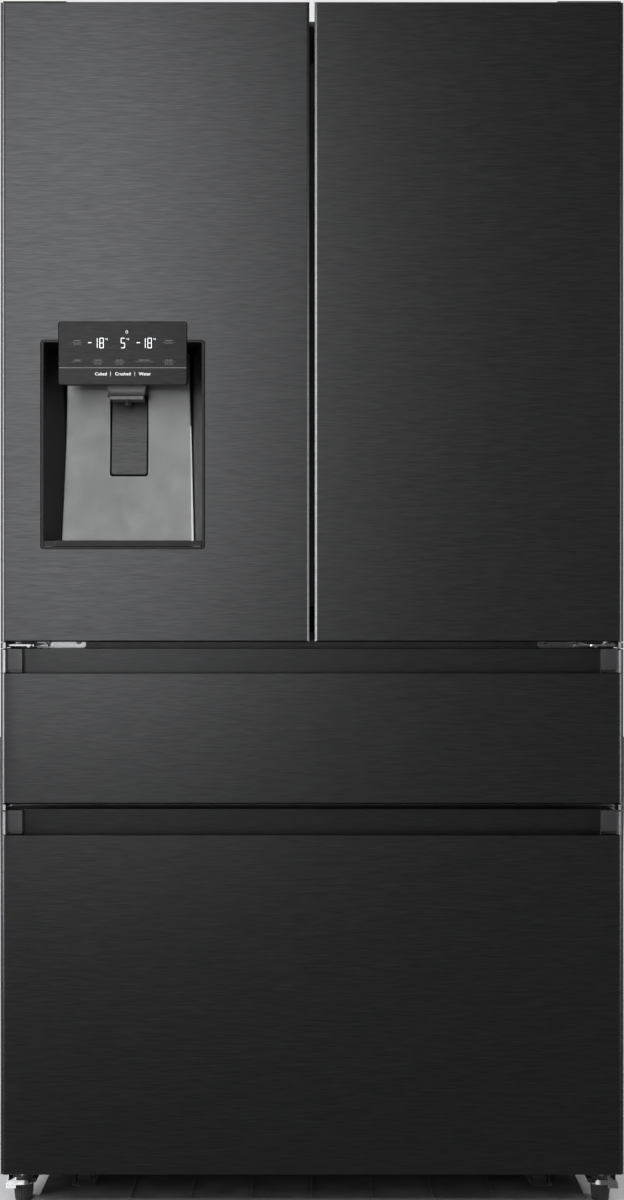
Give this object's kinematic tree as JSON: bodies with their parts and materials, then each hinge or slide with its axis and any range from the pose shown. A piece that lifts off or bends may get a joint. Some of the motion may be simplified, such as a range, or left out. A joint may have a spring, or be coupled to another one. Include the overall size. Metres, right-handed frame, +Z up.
{
  "type": "french door refrigerator",
  "caption": "Free-standing french door refrigerator with hinged upper doors, a door-mounted ice and water dispenser, a middle drawer and a lower freezer drawer.",
  "frame": {"origin": "on the floor, under the middle of the bounding box", "axes": "+Z up, the doors face -Y, +X to the right as seen from the front"},
  "size_m": [0.912, 0.725, 1.785],
  "materials": {
    "black_steel": "satin",
    "grey_paint": "satin",
    "zinc": "satin",
    "dark_plastic": "matte",
    "white_plastic": "satin",
    "clear_plastic": "gloss",
    "glass": "gloss",
    "foam": "matte",
    "rubber": "matte",
    "panel_glass": "gloss",
    "niche_metal": "satin",
    "black_paint": "matte",
    "fin_aluminium": "satin"
  },
  "bodies": {
    "cabinet": {"cabinet_shell": "grey_paint", "insulation_foam": "foam", "back_panel": "grey_paint", "fridge_liner": "white_plastic", "lower_liner": "white_plastic", "base_frame": "black_paint", "rear_cover": "black_paint", "cord_gland": "rubber", "compressor": "black_paint", "evaporator": "fin_aluminium", "evaporator_cover": "white_plastic", "shelf_lower": "glass", "shelf_upper": "glass", "crisper_left": "clear_plastic", "crisper_right": "clear_plastic", "top_hinge_left": "zinc", "top_hinge_right": "zinc", "hinge_cover_left": "dark_plastic", "hinge_cover_right": "dark_plastic", "middle_hinge_left": "zinc", "middle_hinge_right": "zinc", "middle_rails": "zinc", "freezer_rails": "zinc"},
    "left_door": {"left_door_skin": "black_steel", "left_door_liner": "white_plastic", "left_door_gasket": "rubber", "dispenser_housing": "niche_metal", "control_panel": "panel_glass", "ice_spout": "dark_plastic", "drip_tray": "dark_plastic", "ice_compartment": "white_plastic"},
    "mullion_flap": {"mullion_flap": "dark_plastic"},
    "dispenser_paddle": {"dispenser_paddle": "niche_metal"},
    "right_door": {"right_door_skin": "black_steel", "right_door_liner": "white_plastic", "right_door_gasket": "rubber", "right_bin_lower": "clear_plastic", "right_bin_upper": "clear_plastic"},
    "middle_drawer": {"middle_front": "black_steel", "middle_cap_left": "dark_plastic", "middle_cap_right": "dark_plastic", "middle_inner_panel": "white_plastic", "middle_gasket": "rubber", "middle_frame": "zinc", "middle_bin": "white_plastic"},
    "freezer_drawer": {"freezer_front": "black_steel", "freezer_cap_left": "dark_plastic", "freezer_cap_right": "dark_plastic", "freezer_inner_panel": "white_plastic", "freezer_gasket": "rubber", "freezer_frame": "zinc", "freezer_bin": "white_plastic"},
    "foot_left": {"foot_left": "dark_plastic"},
    "foot_right": {"foot_right": "dark_plastic"},
    "roller_front_left": {"roller_front_left": "rubber"},
    "roller_front_right": {"roller_front_right": "rubber"},
    "roller_rear_left": {"roller_rear_left": "rubber"},
    "roller_rear_right": {"roller_rear_right": "rubber"},
    "condenser_fan": {"condenser_fan": "dark_plastic"},
    "evaporator_fan": {"evaporator_fan": "dark_plastic"}
  },
  "joints": [
    {"name": "left_door_hinge", "type": "hinge", "parent": "cabinet", "child": "left_door", "pos_m": [-0.434, -0.3365, 1.3], "axis": [0, 0, -1], "range_deg": [0, 130]},
    {"name": "right_door_hinge", "type": "hinge", "parent": "cabinet", "child": "right_door", "pos_m": [0.434, -0.3365, 1.3], "axis": [0, 0, 1], "range_deg": [0, 130]},
    {"name": "mullion_flap_fold", "type": "hinge", "parent": "left_door", "child": "mullion_flap", "pos_m": [-0.028, -0.2835, 1.3], "axis": [0, 0, 1], "range_deg": [0, 90]},
    {"name": "dispenser_paddle_pivot", "type": "hinge", "parent": "left_door", "child": "dispenser_paddle", "pos_m": [-0.2767, -0.2632, 1.2038], "axis": [1, 0, 0], "range_deg": [0, 8], "stiffness_Nm_per_rad": 0.5},
    {"name": "middle_drawer_slide", "type": "slide", "parent": "cabinet", "child": "middle_drawer", "axis": [0, -1, 0], "range_m": [0, 0.42]},
    {"name": "freezer_drawer_slide", "type": "slide", "parent": "cabinet", "child": "freezer_drawer", "axis": [0, -1, 0], "range_m": [0, 0.4]},
    {"name": "foot_left_turn", "type": "hinge", "parent": "cabinet", "child": "foot_left", "pos_m": [-0.4315, -0.3025, 0.02], "axis": [0, 0, 1], "continuous": true},
    {"name": "foot_right_turn", "type": "hinge", "parent": "cabinet", "child": "foot_right", "pos_m": [0.4315, -0.3025, 0.02], "axis": [0, 0, 1], "continuous": true},
    {"name": "roller_front_left_spin", "type": "hinge", "parent": "cabinet", "child": "roller_front_left", "pos_m": [-0.347, -0.2465, 0.015], "axis": [1, 0, 0], "continuous": true},
    {"name": "roller_front_right_spin", "type": "hinge", "parent": "cabinet", "child": "roller_front_right", "pos_m": [0.347, -0.2465, 0.015], "axis": [1, 0, 0], "continuous": true},
    {"name": "roller_rear_left_spin", "type": "hinge", "parent": "cabinet", "child": "roller_rear_left", "pos_m": [-0.347, 0.2945, 0.015], "axis": [1, 0, 0], "continuous": true},
    {"name": "roller_rear_right_spin", "type": "hinge", "parent": "cabinet", "child": "roller_rear_right", "pos_m": [0.347, 0.2945, 0.015], "axis": [1, 0, 0], "continuous": true},
    {"name": "condenser_fan_spin", "type": "hinge", "parent": "cabinet", "child": "condenser_fan", "pos_m": [0.114, 0.259, 0.175], "axis": [1, 0, 0], "continuous": true},
    {"name": "evaporator_fan_spin", "type": "hinge", "parent": "cabinet", "child": "evaporator_fan", "pos_m": [0, 0.2475, 0.495], "axis": [0, 1, 0], "continuous": true}
  ],
  "couplings": [
    {"joint": "mullion_flap_fold", "follows": "left_door_hinge", "ratio": 0.6923}
  ]
}
